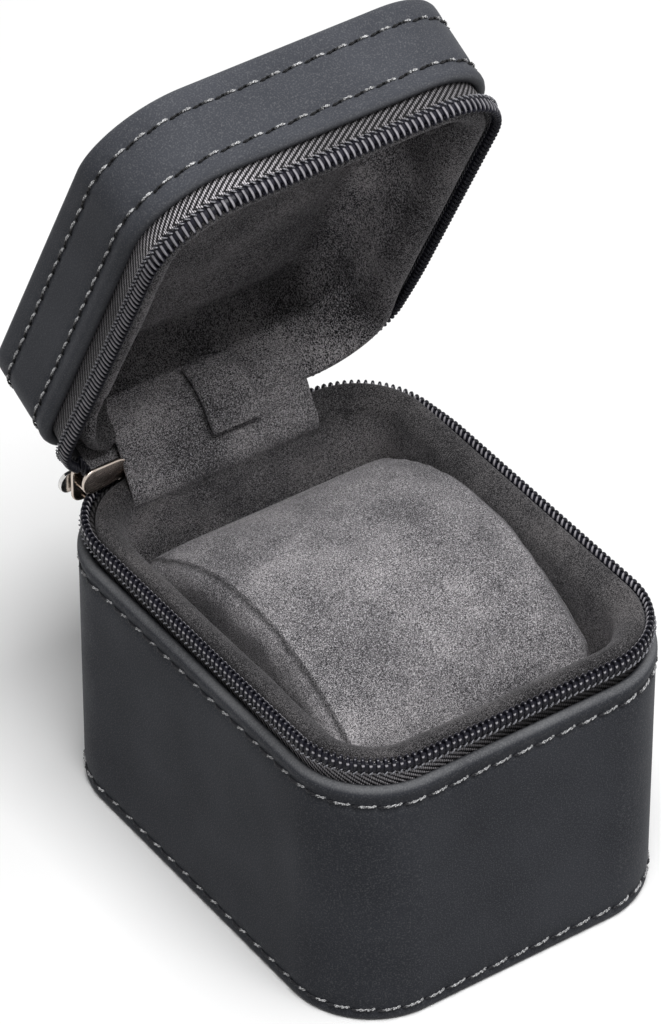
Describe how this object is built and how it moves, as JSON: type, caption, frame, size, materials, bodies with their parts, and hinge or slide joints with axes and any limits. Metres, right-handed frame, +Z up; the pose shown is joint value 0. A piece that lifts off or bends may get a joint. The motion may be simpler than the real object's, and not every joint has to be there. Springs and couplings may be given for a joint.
{
  "type": "watch storage case",
  "caption": "Small leather watch case with a zipped, hinged lid, suede lining and a lift-out cushion that holds one wrist watch.",
  "frame": {"origin": "centre of the underside of the base, on the surface that it stands on", "axes": "+Z up, -Y to the front, +Y to the hinge, +X to the right along the hinge line"},
  "size_m": [0.0702, 0.1093, 0.148],
  "materials": {
    "leather": "smooth satin slate grey",
    "suede": "napped dark grey suede",
    "foam": "soft foam",
    "board": "pressed board",
    "zip_tape": "woven charcoal tape",
    "zip_coil": "black nylon",
    "thread": "waxed grey thread",
    "slider_metal": "polished dark nickel"
  },
  "bodies": {
    "base": {"base_side_leather": "leather", "base_bottom_leather": "leather", "base_core": "board", "base_floor_pad": "suede", "base_wall_foam": "foam", "base_wall_lining": "suede", "base_zip_tape": "zip_tape", "base_zip_coil": "zip_coil", "zip_bottom_stop": "zip_coil", "base_top_stop": "zip_coil", "base_rim_thread": "thread", "base_foot_thread": "thread", "hinge_leather": "leather", "hinge_lining": "suede", "hinge_tab": "suede"},
    "lid": {"lid_side_leather": "leather", "lid_top_leather": "leather", "lid_core": "board", "lid_ceiling_foam": "foam", "lid_ceiling_lining": "suede", "lid_wall_foam": "foam", "lid_wall_lining": "suede", "lid_zip_tape": "zip_tape", "lid_zip_coil": "zip_coil", "lid_top_stop": "zip_coil", "lid_rim_thread": "thread", "lid_top_thread": "thread"},
    "slider": {"zip_slider": "slider_metal", "slider_arch": "slider_metal"},
    "puller": {"zip_puller": "slider_metal"},
    "cushion": {"cushion_core": "foam", "cushion_wrap": "suede", "cushion_end_left": "suede", "cushion_end_right": "suede"}
  },
  "joints": [
    {"name": "lid_hinge", "type": "hinge", "parent": "base", "child": "lid", "pos_m": [0, 0.04445, 0.0582], "axis": [-1, 0, 0], "range_deg": [-63.9, 31], "deforming": ["hinge_leather", "hinge_lining", "hinge_tab"]},
    {"name": "slider_travel", "type": "hinge", "parent": "base", "child": "slider", "pos_m": [-0.019, 0.02925, 0.0573], "axis": [0, 0, 1], "range_deg": [0, 70]},
    {"name": "puller_swing", "type": "hinge", "parent": "slider", "child": "puller", "pos_m": [-0.02422, 0.04592, 0.0573], "axis": [0, 0, -1], "range_deg": [0, 175]},
    {"name": "cushion_lift", "type": "slide", "parent": "base", "child": "cushion", "axis": [0, 0, 1], "range_m": [0, 0.01]}
  ]
}
